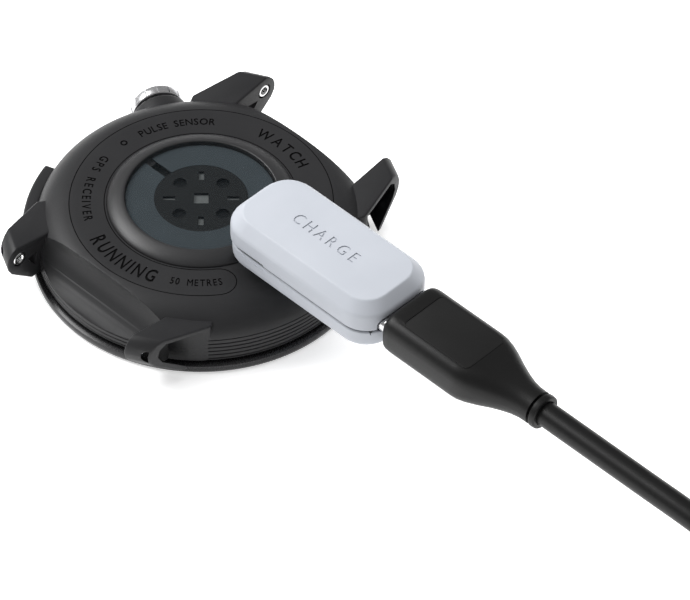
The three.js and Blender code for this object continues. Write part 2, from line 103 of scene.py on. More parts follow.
def turned(name, profile, steps=96):
    # spins (radius, height) points about Z; a profile that isn't a loop ends on the axis
    piece = outline(name, [(r, 0, z) for r, z in profile])
    edit(piece)
    bpy.ops.mesh.select_all(action="SELECT")
    bpy.ops.mesh.spin(steps=steps, angle=2 * math.pi, center=(0, 0, 0), axis=(0, 0, 1))
    settle(piece)
    return piece


def prism(name, points, depth, direction=(0, 0, 1)):
    # a flat outline drawn out to a depth
    piece = outline(name, points, closed=True)
    edit(piece)
    bpy.ops.mesh.select_all(action="SELECT")
    move = Vector(direction).normalized() * depth * mm
    bpy.ops.mesh.extrude_region_move(TRANSFORM_OT_translate={"value": move})
    settle(piece)
    return piece


def arc(centre, radius, start, end, steps):
    # points of an arc, angles in degrees
    found = []
    for i in range(steps + 1):
        a = math.radians(start + (end - start) * i / steps)
        found.append((centre[0] + radius * math.cos(a), centre[1] + radius * math.sin(a)))
    return found


def roundRect(x0, y0, x1, y1, r, steps=6):
    return (arc((x1 - r, y0 + r), r, -90, 0, steps) + arc((x1 - r, y1 - r), r, 0, 90, steps)
            + arc((x0 + r, y1 - r), r, 90, 180, steps) + arc((x0 + r, y0 + r), r, 180, 270, steps))


def flat(points, z):
    return [(x, y, z) for x, y in points]


def apply(piece, kind, **settings):
    pick(piece)
    tool = piece.modifiers.new(kind.lower(), kind)
    for key, value in settings.items():
        setattr(tool, key, value)
    bpy.ops.object.modifier_apply(modifier=tool.name)


def cut(piece, tool, how="DIFFERENCE"):
    apply(piece, "BOOLEAN", operation=how, object=tool, solver="MANIFOLD")
    bpy.data.objects.remove(tool)


def soften(piece, width, segments=3, angle=35):
    apply(piece, "BEVEL", width=width * mm, segments=segments, limit_method="ANGLE",
          angle_limit=math.radians(angle), use_clamp_overlap=True)


def smooth(piece, angle=35):
    pick(piece)
    bpy.ops.object.shade_smooth_by_angle(angle=math.radians(angle))


def move(piece, x=0, y=0, z=0):
    piece.location = Vector((x, y, z)) * mm
    pick(piece)
    bpy.ops.object.transform_apply(location=True, rotation=True, scale=True)


def turn(piece, degrees, axis="Z"):
    piece.rotation_euler = [math.radians(degrees) if a == axis else 0 for a in "XYZ"]
    pick(piece)
    bpy.ops.object.transform_apply(location=True, rotation=True, scale=True)


def copyOf(piece, name):
    twin = piece.copy()
    twin.data = piece.data.copy()
    twin.name = name
    bpy.context.scene.collection.objects.link(twin)
    return twin


def mirrored(piece, name, x, y):
    twin = copyOf(piece, name)
    twin.scale = (x, y, 1)
    settle(twin)
    return twin


def dress(piece, material, body, slot, *stoodFor):
    piece.data.materials.clear()
    piece.data.materials.append(material)
    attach(piece, body)
    if stoodFor:
        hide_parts(*stoodFor)
    return piece


# materials

def blank(name):
    material = bpy.data.materials.new(name)
    material.use_nodes = True
    tree = material.node_tree
    shader = tree.nodes["Principled BSDF"]
    place = tree.nodes.new("ShaderNodeTexCoord")
    return material, tree, shader, place.outputs["Object"]


def noise(tree, place, scale, detail=4, roughness=0.6):
    found = tree.nodes.new("ShaderNodeTexNoise")
    found.inputs["Scale"].default_value = scale
    found.inputs["Detail"].default_value = detail
    found.inputs["Roughness"].default_value = roughness
    tree.links.new(place, found.inputs["Vector"])
    return found.outputs["Fac"]


def ramp(tree, value, low, high, start=0.3, end=0.7):
    found = tree.nodes.new("ShaderNodeValToRGB")
    found.color_ramp.elements[0].position = start
    found.color_ramp.elements[1].position = end
    found.color_ramp.elements[0].color = (*low, 1)
    found.color_ramp.elements[1].color = (*high, 1)
    tree.links.new(value, found.inputs["Fac"])
    return found.outputs["Color"]


def spread(tree, value, low, high):
    found = tree.nodes.new("ShaderNodeMapRange")
    found.inputs["From Min"].default_value = 0.3
    found.inputs["From Max"].default_value = 0.7
    found.inputs["To Min"].default_value = low
    found.inputs["To Max"].default_value = high
    tree.links.new(value, found.inputs["Value"])
    return found.outputs["Result"]


def bump(tree, shader, height, strength, distance):
    found = tree.nodes.new("ShaderNodeBump")
    found.inputs["Strength"].default_value = strength
    found.inputs["Distance"].default_value = distance * mm
    tree.links.new(height, found.inputs["Height"])
    tree.links.new(found.outputs["Normal"], shader.inputs["Normal"])


def grainedFinish(name, look):
    # moulded or coated surface: a fine grain, slow clouding of colour and gloss
    material, tree, shader, place = blank(name)
    cloud = noise(tree, place, look["cloud"], 3)
    grain = noise(tree, place, look["grain"], 6, 0.7)
    dark, light = look["dark"], look["light"]
    tree.links.new(ramp(tree, cloud, dark, light), shader.inputs["Base Color"])
    low, high = look["gloss"]
    tree.links.new(spread(tree, grain, low, high), shader.inputs["Roughness"])
    bump(tree, shader, grain, look["strength"], look["depth"])
    shader.inputs["Metallic"].default_value = look.get("metal", 0)
    shader.inputs["Specular IOR Level"].default_value = look.get("shine", 0.5)
    shader.inputs["Coat Weight"].default_value = look.get("coat", 0)
    shader.inputs["Coat Roughness"].default_value = look.get("coatRoughness", 0.05)
    return material


def turnedFinish(name, look):
    # metal with fine tool rings round its own axis
    material, tree, shader, place = blank(name)
    wave = tree.nodes.new("ShaderNodeTexWave")
    wave.wave_type = "RINGS"
    wave.rings_direction = look.get("axis", "Z")
    wave.inputs["Scale"].default_value = look["rings"]
    wave.inputs["Distortion"].default_value = 1.5
    wave.inputs["Detail"].default_value = 2
    tree.links.new(place, wave.inputs["Vector"])
    cloud = noise(tree, place, look["cloud"], 3)
    tree.links.new(ramp(tree, cloud, look["dark"], look["light"]), shader.inputs["Base Color"])
    low, high = look["gloss"]
    tree.links.new(spread(tree, wave.outputs["Fac"], low, high), shader.inputs["Roughness"])
    bump(tree, shader, wave.outputs["Fac"], 0.15, 0.01)
    shader.inputs["Metallic"].default_value = 1
    return material


def clearFinish(name, look):
    # polished glass, faintly tinted, with a trace of wiping marks in its gloss
    material, tree, shader, place = blank(name)
    marks = noise(tree, place, look["marks"], 5)
    tree.links.new(spread(tree, marks, 0.6 * look["haze"], look["haze"]), shader.inputs["Roughness"])
    tree.links.new(ramp(tree, marks, look["tint"], look["tint2"]), shader.inputs["Base Color"])
    shader.inputs["Alpha"].default_value = look["body"]
    shader.inputs["IOR"].default_value = look["ior"]
    return material


casePolymer = grainedFinish("casePolymer", {
    "dark": (0.0125, 0.0125, 0.0135), "light": (0.0160, 0.0160, 0.0170), "gloss": (0.42, 0.54),
    "cloud": 90, "grain": 5200, "strength": 0.18, "depth": 0.015, "shine": 0.3})
collarSatin = grainedFinish("collarSatin", {
    "dark": (0.0135, 0.0135, 0.0145), "light": (0.0170, 0.0170, 0.0180), "gloss": (0.38, 0.46),
    "cloud": 120, "grain": 6500, "strength": 0.12, "depth": 0.01})
bezelCoating = grainedFinish("bezelCoating", {
    "dark": (0.014, 0.014, 0.015), "light": (0.019, 0.019, 0.020), "gloss": (0.22, 0.32),
    "cloud": 140, "grain": 7000, "strength": 0.02, "depth": 0.005, "metal": 0.3})
# near-black colour for the engraved lettering and lines: painted shade in the recesses of the cuts
engravedInk = grainedFinish("engravedInk", {
    "dark": (0.0030, 0.0030, 0.0030), "light": (0.0045, 0.0045, 0.0045), "gloss": (0.8, 0.95),
    "cloud": 400, "grain": 9000, "strength": 0.1, "depth": 0.005, "shine": 0.05})
adapterWhite = grainedFinish("adapterWhite", {
    "dark": (0.40, 0.42, 0.46), "light": (0.43, 0.45, 0.49), "gloss": (0.46, 0.58),
    "cloud": 80, "grain": 4200, "strength": 0.12, "depth": 0.01})
plugBlack = grainedFinish("plugBlack", {
    "dark": (0.0035, 0.0035, 0.0035), "light": (0.0055, 0.0055, 0.0055), "gloss": (0.36, 0.48),
    "cloud": 100, "grain": 5000, "strength": 0.18, "depth": 0.015, "shine": 0.25})
labelBlack = grainedFinish("labelBlack", {
    "dark": (0.0065, 0.0065, 0.0065), "light": (0.0085, 0.0085, 0.0085), "gloss": (0.50, 0.62),
    "cloud": 100, "grain": 8000, "strength": 0.3, "depth": 0.02, "shine": 0.25})
cableJacket = grainedFinish("cableJacket", {
    "dark": (0.0035, 0.0035, 0.0035), "light": (0.0055, 0.0055, 0.0055), "gloss": (0.34, 0.46),
    "cloud": 60, "grain": 3500, "strength": 0.15, "depth": 0.015, "shine": 0.25})
tieStrap = grainedFinish("tieStrap", {
    "dark": (0.010, 0.010, 0.010), "light": (0.020, 0.020, 0.020), "gloss": (0.7, 0.9),
    "cloud": 300, "grain": 2500, "strength": 0.8, "depth": 0.08})
sealRubber = grainedFinish("sealRubber", {
    "dark": (0.010, 0.010, 0.010), "light": (0.015, 0.015, 0.015), "gloss": (0.6, 0.8),
    "cloud": 200, "grain": 4000, "strength": 0.3, "depth": 0.02})
portPlastic = grainedFinish("portPlastic", {
    "dark": (0.012, 0.012, 0.012), "light": (0.018, 0.018, 0.018), "gloss": (0.4, 0.5),
    "cloud": 200, "grain": 5000, "strength": 0.2, "depth": 0.02})
boardGreen = grainedFinish("boardGreen", {
    "dark": (0.010, 0.045, 0.025), "light": (0.015, 0.070, 0.038), "gloss": (0.2, 0.35),
    "cloud": 900, "grain": 3000, "strength": 0.3, "depth": 0.02, "coat": 0.5})
batteryFoil = grainedFinish("batteryFoil", {
    "dark": (0.45, 0.46, 0.48), "light": (0.60, 0.61, 0.63), "gloss": (0.25, 0.45),
    "cloud": 300, "grain": 900, "strength": 0.4, "depth": 0.05, "metal": 0.9})
windowBlack = grainedFinish("windowBlack", {
    "dark": (0.0060, 0.0070, 0.0075), "light": (0.0075, 0.0085, 0.0090), "gloss": (0.5, 0.6),
    "cloud": 300, "grain": 1200, "strength": 0.01, "depth": 0.002, "shine": 0.2})
coatingGrey = grainedFinish("coatingGrey", {
    "dark": (0.028, 0.036, 0.041), "light": (0.032, 0.041, 0.047), "gloss": (0.6, 0.65),
    "cloud": 150, "grain": 1200, "strength": 0.01, "depth": 0.002, "shine": 0.2})
ledWhite = grainedFinish("ledWhite", {
    "dark": (0.075, 0.082, 0.082), "light": (0.090, 0.098, 0.098), "gloss": (0.4, 0.5),
    "cloud": 1500, "grain": 6000, "strength": 0.1, "depth": 0.01})
diodeLens = grainedFinish("diodeLens", {
    "dark": (0.0010, 0.0016, 0.0022), "light": (0.0016, 0.0024, 0.0030), "gloss": (0.5, 0.6),
    "cloud": 1500, "grain": 6000, "strength": 0.02, "depth": 0.005, "shine": 0.2})
displayBlack = grainedFinish("displayBlack", {
    "dark": (0.002, 0.002, 0.003), "light": (0.004, 0.004, 0.005), "gloss": (0.05, 0.12),
    "cloud": 100, "grain": 4000, "strength": 0.02, "depth": 0.01})
bushingSteel = turnedFinish("bushingSteel", {
    "dark": (0.72, 0.72, 0.72), "light": (0.85, 0.85, 0.85), "gloss": (0.12, 0.25),
    "rings": 2500, "cloud": 900})
crownSilver = turnedFinish("crownSilver", {
    "dark": (0.55, 0.55, 0.56), "light": (0.68, 0.68, 0.69), "gloss": (0.25, 0.40),
    "rings": 1500, "cloud": 500})
innerSteel = turnedFinish("innerSteel", {
    "dark": (0.45, 0.45, 0.46), "light": (0.58, 0.58, 0.58), "gloss": (0.25, 0.45),
    "rings": 900, "cloud": 300})
plugSteel = turnedFinish("plugSteel", {
    "dark": (0.60, 0.60, 0.61), "light": (0.72, 0.72, 0.73), "gloss": (0.14, 0.28),
    "rings": 1200, "cloud": 400, "axis": "X"})
contactGold = turnedFinish("contactGold", {
    "dark": (0.72, 0.50, 0.20), "light": (0.85, 0.62, 0.28), "gloss": (0.15, 0.30),
    "rings": 2000, "cloud": 900})
lensGlass = clearFinish("lensGlass", {
    "tint": (0.018, 0.024, 0.028), "tint2": (0.020, 0.026, 0.030), "haze": 0.16, "marks": 120,
    "ior": 1.5, "body": 0.08})
displayGlass = clearFinish("displayGlass", {
    "tint": (0.010, 0.010, 0.012), "tint2": (0.014, 0.014, 0.016), "haze": 0.05, "marks": 90,
    "ior": 1.5, "body": 0.3})
report("materials made")


# camera, lights and floor

cameraPlace = {
    "azimuth": 43.806, "elevation": 45.732, "roll": 0.883,
    "distance": 723.34, "across": -19.314, "above": 6.632,  # the display centre off the sight line
    "lens": 279.7,
}


def addCamera():
    a = math.radians(cameraPlace["azimuth"])
    e = math.radians(cameraPlace["elevation"])
    r = math.radians(cameraPlace["roll"])
    back = Vector((math.sin(a) * math.cos(e), -math.cos(a) * math.cos(e), math.sin(e)))
    right = Vector((math.cos(a), math.sin(a), 0))
    top = back.cross(right)
    right, top = right * math.cos(r) + top * math.sin(r), top * math.cos(r) - right * math.sin(r)
    offset = right * cameraPlace["across"] + top * cameraPlace["above"]
    place = (back * cameraPlace["distance"] - offset) * mm
    bpy.ops.object.camera_add(location=place)
    camera = bpy.context.object
    turnBy = Matrix((right, top, back)).transposed()
    camera.rotation_euler = turnBy.to_euler()
    camera.data.lens = cameraPlace["lens"]
    camera.data.sensor_width = 36
    camera.data.clip_start = 0.01
    bpy.context.scene.camera = camera


def addLight(name, place, size, watts, aim=(0.02, 0, 0), glossy=True):
    deselect()
    bpy.ops.object.light_add(type="AREA", location=place)
    light = bpy.context.object
    light.name = name
    light.data.shape = "RECTANGLE"
    light.data.size, light.data.size_y = size
    light.data.energy = watts
    way = Vector(aim) - Vector(place)
    light.rotation_euler = way.to_track_quat("-Z", "Y").to_euler()
    light.visible_glossy = glossy


def addStudio():
    world = bpy.data.worlds.new("softStudio")
    bpy.context.scene.world = world
    world.use_nodes = True
    world.node_tree.nodes["Background"].inputs["Color"].default_value = (1, 1, 1, 1)
    world.node_tree.nodes["Background"].inputs["Strength"].default_value = 0.34
    addLight("topSoftbox", (-0.15, 0.20, 0.75), (1.0, 0.8), 7, glossy=False)
    addLight("leftSoftbox", (-0.38, -0.18, 0.42), (0.35, 0.3), 3)
    addLight("frontFill", (0.25, -0.55, 0.45), (0.8, 0.6), 0.3, glossy=False)
    deselect()
    bpy.ops.mesh.primitive_plane_add(size=6, location=(0, 0, 0))
    floor = bpy.context.object
    floor.name = "paleFloor"
    material, tree, shader, place = blank("paleFloorPaint")
    tree.links.new(ramp(tree, noise(tree, place, 6), (0.90, 0.90, 0.90), (0.92, 0.92, 0.92)),
                   shader.inputs["Base Color"])
    shader.inputs["Roughness"].default_value = 0.9
    shader.inputs["Specular IOR Level"].default_value = 0.1
    shader.inputs["Emission Color"].default_value = (1, 1, 1, 1)
    shader.inputs["Emission Strength"].default_value = 0.5
    floor.data.materials.append(material)
    bpy.context.scene.view_settings.view_transform = "Standard"


addCamera()
addStudio()
report("camera and studio")


# cable: straight out of the plug, down to a tied coil, and out to the far plug

cable = {
    "diameter": 3.43,
    "lead": [(63, 0, 15.26), (64.5, 0, 15.26), (72, 0, 15.26), (80, 0, 15.26), (88, 0, 15.26),
             (91.5, 0, 15.07), (95, -0.3, 14.47), (98.4, -1.2, 13.46), (101.5, -2.6, 11.98),
             (104.4, -4.6, 9.97), (106.3, -6.4, 8.55), (108.7, -8.8, 7.3), (111.2, -11.3, 6.35),
             (114, -14.1, 5.75)],
    "tail": [(145.8, 21.5, 2.22), (142.1, 24.6, 2.4), (138.2, 28, 2.58), (134.8, 30.1, 2.88),
             (130.9, 31.6, 3.11), (126.7, 32.1, 3.2), (125.2, 32.1, 3.2)],
    "coilCentre": (134, 0), "outerTurn": 24.1, "pitch": 3.45, "topRow": 5.6, "lowRow": 2.15,
    "rowTurns": 3.632, "startAngle": -135, "perTurn": 20, "length": 985,
}


def coilRoute():
    rows, change = cable["rowTurns"], 0.25
    total = 2 * rows + change
    count = round(total * cable["perTurn"])
    points = []
    for i in range(count + 1):
        t = total * i / count
        if t <= rows:
            inward, drop = t, 0
        elif t < rows + change:
            inward, drop = rows, (t - rows) / change
        else:
            inward, drop = total - t, 1
        part = min(max((inward % 1 - 0.75) / 0.25, 0), 1)
        step = math.floor(inward) + part * part * (3 - 2 * part)
        radius = cable["outerTurn"] - cable["pitch"] * step
        drop = drop * drop * (3 - 2 * drop)
        z = cable["topRow"] + (cable["lowRow"] - cable["topRow"]) * drop
        a = math.radians(cable["startAngle"] + 360 * t)
        x, y = cable["coilCentre"]
        points.append((x + radius * math.cos(a), y + radius * math.sin(a), z))
    return points


def addCable():
    route = cable["lead"] + coilRoute() + cable["tail"]
    deselect()
    bpy.ops.curve.primitive_bezier_curve_add()
    piece = bpy.context.object
    piece.name = "chargingCable"
    line = piece.data.splines[0]
    line.bezier_points.add(len(route) - 2)
    for knot, spot in zip(line.bezier_points, route):
        knot.co = Vector(spot) * mm
        knot.handle_left_type = knot.handle_right_type = "AUTO"
    piece.data.bevel_depth = cable["diameter"] / 2 * mm
    piece.data.bevel_resolution = 5
    piece.data.resolution_u = piece.data.render_resolution_u = 5
    piece.data.use_fill_caps = True
    return piece


chargingCable = addCable()
dress(chargingCable, cableJacket, "usb_cable", "cable_jacket", "cable_lead", "cable_coil",
      "cable_tail")
report("cable laid")


# case shell with its four lugs

caseLook = {
    "foot": 1.9, "wall": 22.3, "back": 9.5, "run": 5.55, "rise": 4.5, "steps": 168,
    "strap": 22.1, "scoopOut": 22.5, "scoopHeight": 8, "scoopRadius": 4.3,
    "grooves": 6, "groovePitch": 0.66, "grooveFoot": 2.3, "grooveDepth": 0.2, "grooveHalf": 0.14,
    "edge": 0.28, "crownAngle": 150, "buttonAngle": 210, "keyHeight": 4.1,
}
lugLook = {
    "angle": 62.6, "reach": 27.45, "plate": 1.45, "edge": 0.26,
    "side": [(17, 1.9), (23.7, 1.9), (26.8, 4.9), (27.3, 5.9), (27.45, 6.9), (27.2, 7.9),
             (26.6, 8.7), (25.9, 9.1), (20, 8), (17, 7.6)],
    "pocket": [(19.5, 7.3), (25.6, 8.3), (26.3, 7.6), (26.5, 6.4), (26, 5.2), (23.4, 2.6),
               (22.9, 1), (19.5, 1)],
    "window": [(19.9, 6.1), (21.7, 5.9), (20.3, 4)],
    "pin": (22.95, 6.85), "pinHole": 1.12,
}


def rod(name, radius, start, end, y=0, z=0, sides=48):
    # a round bar along X
    deselect()
    bpy.ops.mesh.primitive_cylinder_add(
        vertices=sides, radius=radius * mm, depth=(end - start) * mm,
        location=Vector(((start + end) / 2, y, z)) * mm, rotation=(0, math.pi / 2, 0))
    piece = bpy.context.object
    piece.name = name
    settle(piece)
    return piece


def block(name, low, high):
    deselect()
    low, high = Vector(low) * mm, Vector(high) * mm
    bpy.ops.mesh.primitive_cube_add(size=1, location=(low + high) / 2)
    piece = bpy.context.object
    piece.name = name
    piece.scale = high - low
    settle(piece)
    return piece


def lugBar(points):
    # a side view drawn out across the lug, then turned to the way the lug points
    piece = prism("lugBar", [(r, -8, z) for r, z in points], 16, (0, 1, 0))
    turn(piece, lugLook["angle"])
    return piece


def makeLug():
    inner = caseLook["strap"] / 2
    reach = lugLook["reach"]
    first = math.degrees(math.acos(14.3 / reach))
    last = math.degrees(math.acos(inner / reach))
    plan = [(inner, 12), (16.8, 13.6)] + arc((0, 0), reach, first, last, 8)
    lug = prism("lug", flat(plan, 0), 12)
    cut(lug, lugBar(lugLook["side"]), "INTERSECT")
    soften(lug, lugLook["edge"], 3, 30)
    pocket = lugBar(lugLook["pocket"])
    cut(pocket, block("outsidePlate", (inner + lugLook["plate"], 12, 0), (22, 30, 12)), "INTERSECT")
    cut(pocket, turned("wallRound", [(0, -1), (22.3, -1), (22.3, 13), (0, 13)], 96))
    cut(lug, pocket)
    y, z = lugLook["pin"]
    cut(lug, rod("pinHole", lugLook["pinHole"], inner - 1, inner + 3, y, z, 32))
    window = [(inner - 1, y, z) for y, z in lugLook["window"]]
    cut(lug, prism("lugWindow", window, 4, (1, 0, 0)))
    return lug


def makeCase():
    look = caseLook
    foot, wall, back = look["foot"], look["wall"], look["back"]
    rim = []
    for i in range(19):
        a = math.pi / 2 * i / 18
        rim.append((wall - look["run"] * (1 - math.cos(a)), back - look["rise"] * (1 - math.sin(a))))
    shell = turned("caseShell", [(0, foot), (wall - 0.15, foot), (wall, foot + 0.15)] + rim + [(0, back)],
                   look["steps"])
    inner = look["strap"] / 2
    for side in (1, -1):
        cut(shell, rod("scoop", look["scoopRadius"], -inner - 0.15, inner + 0.15,
                       side * look["scoopOut"], look["scoopHeight"], 72))
    soften(shell, look["edge"], 3, 28)

    # ribs: fine grooves run round the wall
    comb = [(wall + 1, look["grooveFoot"] - 0.5), (wall + 0.05, look["grooveFoot"] - 0.5)]
    for i in range(look["grooves"]):
        z = look["grooveFoot"] + i * look["groovePitch"]
        half = look["grooveHalf"]
        comb += [(wall + 0.05, z - half), (wall - look["grooveDepth"], z), (wall + 0.05, z + half)]
    top = look["grooveFoot"] + look["grooves"] * look["groovePitch"]
    comb += [(wall + 0.05, top), (wall + 1, top), comb[0]]
    cut(shell, turned("ribCutter", comb, look["steps"]))

    lug = makeLug()
    for name, x, y in (("lugA", 1, 1), ("lugB", -1, 1), ("lugC", -1, -1)):
        cut(shell, mirrored(lug, name, x, y), "UNION")
    last = mirrored(lug, "lugD", 1, -1)
    cut(shell, last, "UNION")
    bpy.data.objects.remove(lug)

    crownAngle, buttonAngle, keyHeight = look["crownAngle"], look["buttonAngle"], look["keyHeight"]
    boss = rod("crownBoss", 4, 18, 22.95, 0, keyHeight, 64)
    soften(boss, 0.5, 4, 40)
    turn(boss, crownAngle)
    cut(boss, block("underBoss", (-30, -30, -3), (30, 30, foot)))
    cut(shell, boss, "UNION")

    # hollow inside, sensor opening, charging port, crown hole and button slot
    cut(shell, turned("lowerHollow", [(0, 0), (20.8, 0), (20.8, 3.4), (0, 3.4)], 96))
    hollow = turned("upperHollow", [(0, 3), (20.6, 3), (20.6, 6.2), (18.8, 8.2), (0, 8.2)], 96)
    cut(hollow, block("hollowSides", (-25, -17.2, 2), (25, 17.2, 12)), "INTERSECT")
    cut(hollow, prism("portSleeve", flat(roundRect(12.8, -5.2, 18, 5.2, 2), 6.7), 6))
    cut(shell, hollow)
    cut(shell, turned("sensorOpening", [(0, 7), (11.2, 7), (11.2, 8.9), (12.68, 8.9), (12.68, 12),
                                        (0, 12)], 144))
    port = prism("portOpening", flat(roundRect(13.4, -4.6, 17.4, 4.6, 1.7), 6), 6)
    cut(shell, port)
    crownHole = rod("crownHole", 1.8, 19, 24, 0, keyHeight)
    turn(crownHole, crownAngle)
    cut(shell, crownHole)
    slot = prism("buttonSlot", flat(arc((0, 0), 25, -15, 15, 20) + arc((0, 0), 21.4, 15, -15, 20), 2.4),
                 3.4)
    turn(slot, buttonAngle)
    cut(shell, slot)
    stemHole = rod("stemHole", 1.7, 19, 23, 0, keyHeight)
    turn(stemHole, buttonAngle)
    cut(shell, stemHole)
    for side in (1, -1):
        pinHole = rod("guideHole", 0.9, 19, 23, side * 3.6, keyHeight, 24)
        turn(pinHole, buttonAngle)
        cut(shell, pinHole)
    return shell


caseShell = makeCase()
report("case shell shaped")


# engraving of the flat band round the sensor

bandLook = {"outer": 17.67, "inner": 12.98, "line": 0.07, "depth": 0.14, "end": 27}
bandWords = [
    # words, cap height, centre angle, span in degrees, tops outward, width factor
    ("WATCH", 1.7, 88, 34, True, 0.86),
    ("PULSE SENSOR", 1.25, 148.5, 40, True, 0.86),
    ("GPS RECEIVER", 1.25, 215.5, 47, False, 0.85),
    ("RUNNING", 2.3, 272, 41, False, 0.66),
    ("50 METRES", 1.25, 313, 25.5, False, 0.68),
]


def letter(sign, height, wide, depth):
    # one letter as a closed block, standing on the origin, centred across
    deselect()
    bpy.ops.object.text_add(location=(0, 0, 0))
    mark = bpy.context.object
    mark.data.body = sign
    mark.data.size = height / 0.73 * mm
    mark.data.extrude = depth * mm
    mark.data.resolution_u = 3
    bpy.ops.object.convert(target="MESH")
    mark = bpy.context.object
    mark.scale = (wide, 1, 1)
    settle(mark)
    return mark


def widthOf(piece):
    across = [v.co.x for v in piece.data.vertices]
    return min(across), max(across)


def ringWords(words, height, middle, span, outward, wide):
    # cutters for lettering round the band, letter by letter
    radius = (bandLook["outer"] + bandLook["inner"]) / 2
    base = radius - height / 2 if outward else radius + height / 2
    marks, widths = [], []
    for sign in words:
        if sign == " ":
            marks.append(None)
            widths.append(0.45 * height)
            continue
        mark = letter(sign, height, wide, bandLook["depth"])
        edge = letterEdge(sign, height, wide, 0.055 * height)
        low, high = widthOf(mark)
        for piece in (mark, edge):
            piece.data.transform(Matrix.Translation((-(low + high) / 2, 0, 0)))
        marks.append((mark, edge))
        widths.append((high - low) / mm)
    room = math.radians(span) * radius
    space = (room - sum(widths)) / (len(words) - 1)
    along = -room / 2
    drop = Matrix.Translation((0, (base if outward else -base) * mm, caseLook["back"] * mm))
    for pair, width in zip(marks, widths):
        here = math.degrees((along + width / 2) / radius)
        along += width + space
        angle = middle - here if outward else middle + here
        for piece in pair or ():
            piece.data.transform(drop)
            turn(piece, angle - 90 if outward else angle + 90)
    return [piece for pair in marks if pair for piece in pair]


def backHeight(radius):
    # the flat band runs out into the rounded shoulder
    look = caseLook
    past = max(0, radius - (look["wall"] - look["run"])) / look["run"]
    return look["back"] - look["rise"] * (1 - math.sqrt(1 - past * past))


def ringOutline():
    # the fine engraved line that frames the band, rounded at both ends
    outer, inner, end = bandLook["outer"], bandLook["inner"], bandLook["end"]
    middle, half = (outer + inner) / 2, (outer - inner) / 2
    cap = math.degrees(half / middle)
    first, last = end + cap, 360 - end - cap
    path = arc((0, 0), outer, first, last, 110)
    a = math.radians(last)
    path += arc((middle * math.cos(a), middle * math.sin(a)), half, last, last + 180, 12)[1:]
    path += arc((0, 0), inner, last, first, 90)[1:]
    a = math.radians(first)
    path += arc((middle * math.cos(a), middle * math.sin(a)), half, first + 180, first + 360, 12)[1:-1]
    deselect()
    bpy.ops.curve.primitive_bezier_circle_add()
    line = bpy.context.object
    line.name = "bandLine"
    line.data.splines.clear()
    run = line.data.splines.new("POLY")
    run.points.add(len(path) - 1)
    for knot, (x, y) in zip(run.points, path):
        knot.co = (x * mm, y * mm, backHeight(math.hypot(x, y)) * mm, 1)
    run.use_cyclic_u = True
    line.data.dimensions = "3D"
    line.data.bevel_depth = bandLook["line"] * mm
    line.data.bevel_resolution = 1
    pick(line)
    bpy.ops.object.convert(target="MESH")
    line = bpy.context.object
    settle(line)
    return line


def letterEdge(sign, height, wide, stroke):
    # the rim of a letter as a thin rod, which thickens the letter it goes round
    deselect()
    bpy.ops.object.text_add(location=(0, 0, 0))
    mark = bpy.context.object
    mark.data.body = sign
    mark.data.size = height / 0.73 * mm
    mark.data.resolution_u = 3
    bpy.ops.object.convert(target="CURVE")
    mark = bpy.context.object
    mark.data.dimensions = "3D"
    mark.data.fill_mode = "FULL"
    mark.data.bevel_depth = stroke / 2 * mm
    mark.data.bevel_resolution = 1
    bpy.ops.object.convert(target="MESH")
    mark = bpy.context.object
    mark.scale = (wide, 1, 1)
    settle(mark)
    return mark


def joinAll(pieces, name):
    deselect()
    for piece in pieces:
        piece.select_set(True)
    bpy.context.view_layer.objects.active = pieces[0]
    bpy.ops.object.join()
    bpy.context.object.name = name
    return bpy.context.object


def engraveBand():
    marks = []
    for words, height, middle, span, outward, wide in bandWords:
        marks += ringWords(words, height, middle, span, outward, wide)
    dot = turned("bandDot", [(0.28, -0.14), (0.5, -0.14), (0.5, 0.14), (0.28, 0.14), (0.28, -0.14)], 24)
    move(dot, -15.3, 0.4, caseLook["back"])
    marks.append(dot)
    marks.append(ringOutline())
    for piece in (caseShell, *marks):
        piece.data.materials.clear()
        piece.data.materials.append(casePolymer)
        piece.data.materials.append(engravedInk)
    for tool in marks:
        # every face of the cutters, so the walls and floors of the cuts, takes the near-black painted shade
        for face in tool.data.polygons:
            face.material_index = 1
        apply(caseShell, "BOOLEAN", operation="DIFFERENCE", object=tool, solver="MANIFOLD")
        bpy.data.objects.remove(tool)
    smooth(caseShell, 32)


engraveBand()
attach(caseShell, "watch_case")
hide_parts("case_shell")
report("caseback engraved")


# sensor: collar, printed layers, window and glass dome

collarLook = {"steps": 160, "outer": 12.62, "foot": 9.2, "ledge": 10.25, "seat": 9.7}


def makeCollar():
    look = collarLook
    outer, foot, inner = look["outer"], look["foot"], look["ledge"]
    profile = [(9.3, foot), (outer, foot), (outer, 9.6), (12.56, 9.74), (12.4, 9.9), (12.1, 10.12),
               (11.7, 10.34), (11.2, 10.53), (10.8, 10.65), (10.5, 10.71), (10.35, 10.7), (10.27, 10.63),
               (inner, 10.55), (inner, look["seat"]), (9.3, look["seat"]), (9.3, foot)]
    return turned("sensorCollar", profile, look["steps"])


collar = dress(makeCollar(), collarSatin, "watch_case", "collar_satin", "sensor_collar")
smooth(collar, 40)

domeLook = {"edge": 10.18, "foot": 10.06, "wall": 10.66, "top": 11.34, "steps": 128}
domeProfile = [(0, domeLook["foot"]), (domeLook["edge"] - 0.08, domeLook["foot"]),
               (domeLook["edge"], domeLook["foot"] + 0.08), (domeLook["edge"], domeLook["wall"])]
for i in range(1, 15):
    share = i / 14
    rise = (domeLook["top"] - domeLook["wall"]) * (1 - (1 - share) ** 2)
    domeProfile.append((domeLook["edge"] * (1 - share), domeLook["wall"] + rise))
dome = dress(turned("sensorDome", domeProfile, domeLook["steps"]), lensGlass, "watch_case", "lens_glass",
             "sensor_glass")
smooth(dome, 40)

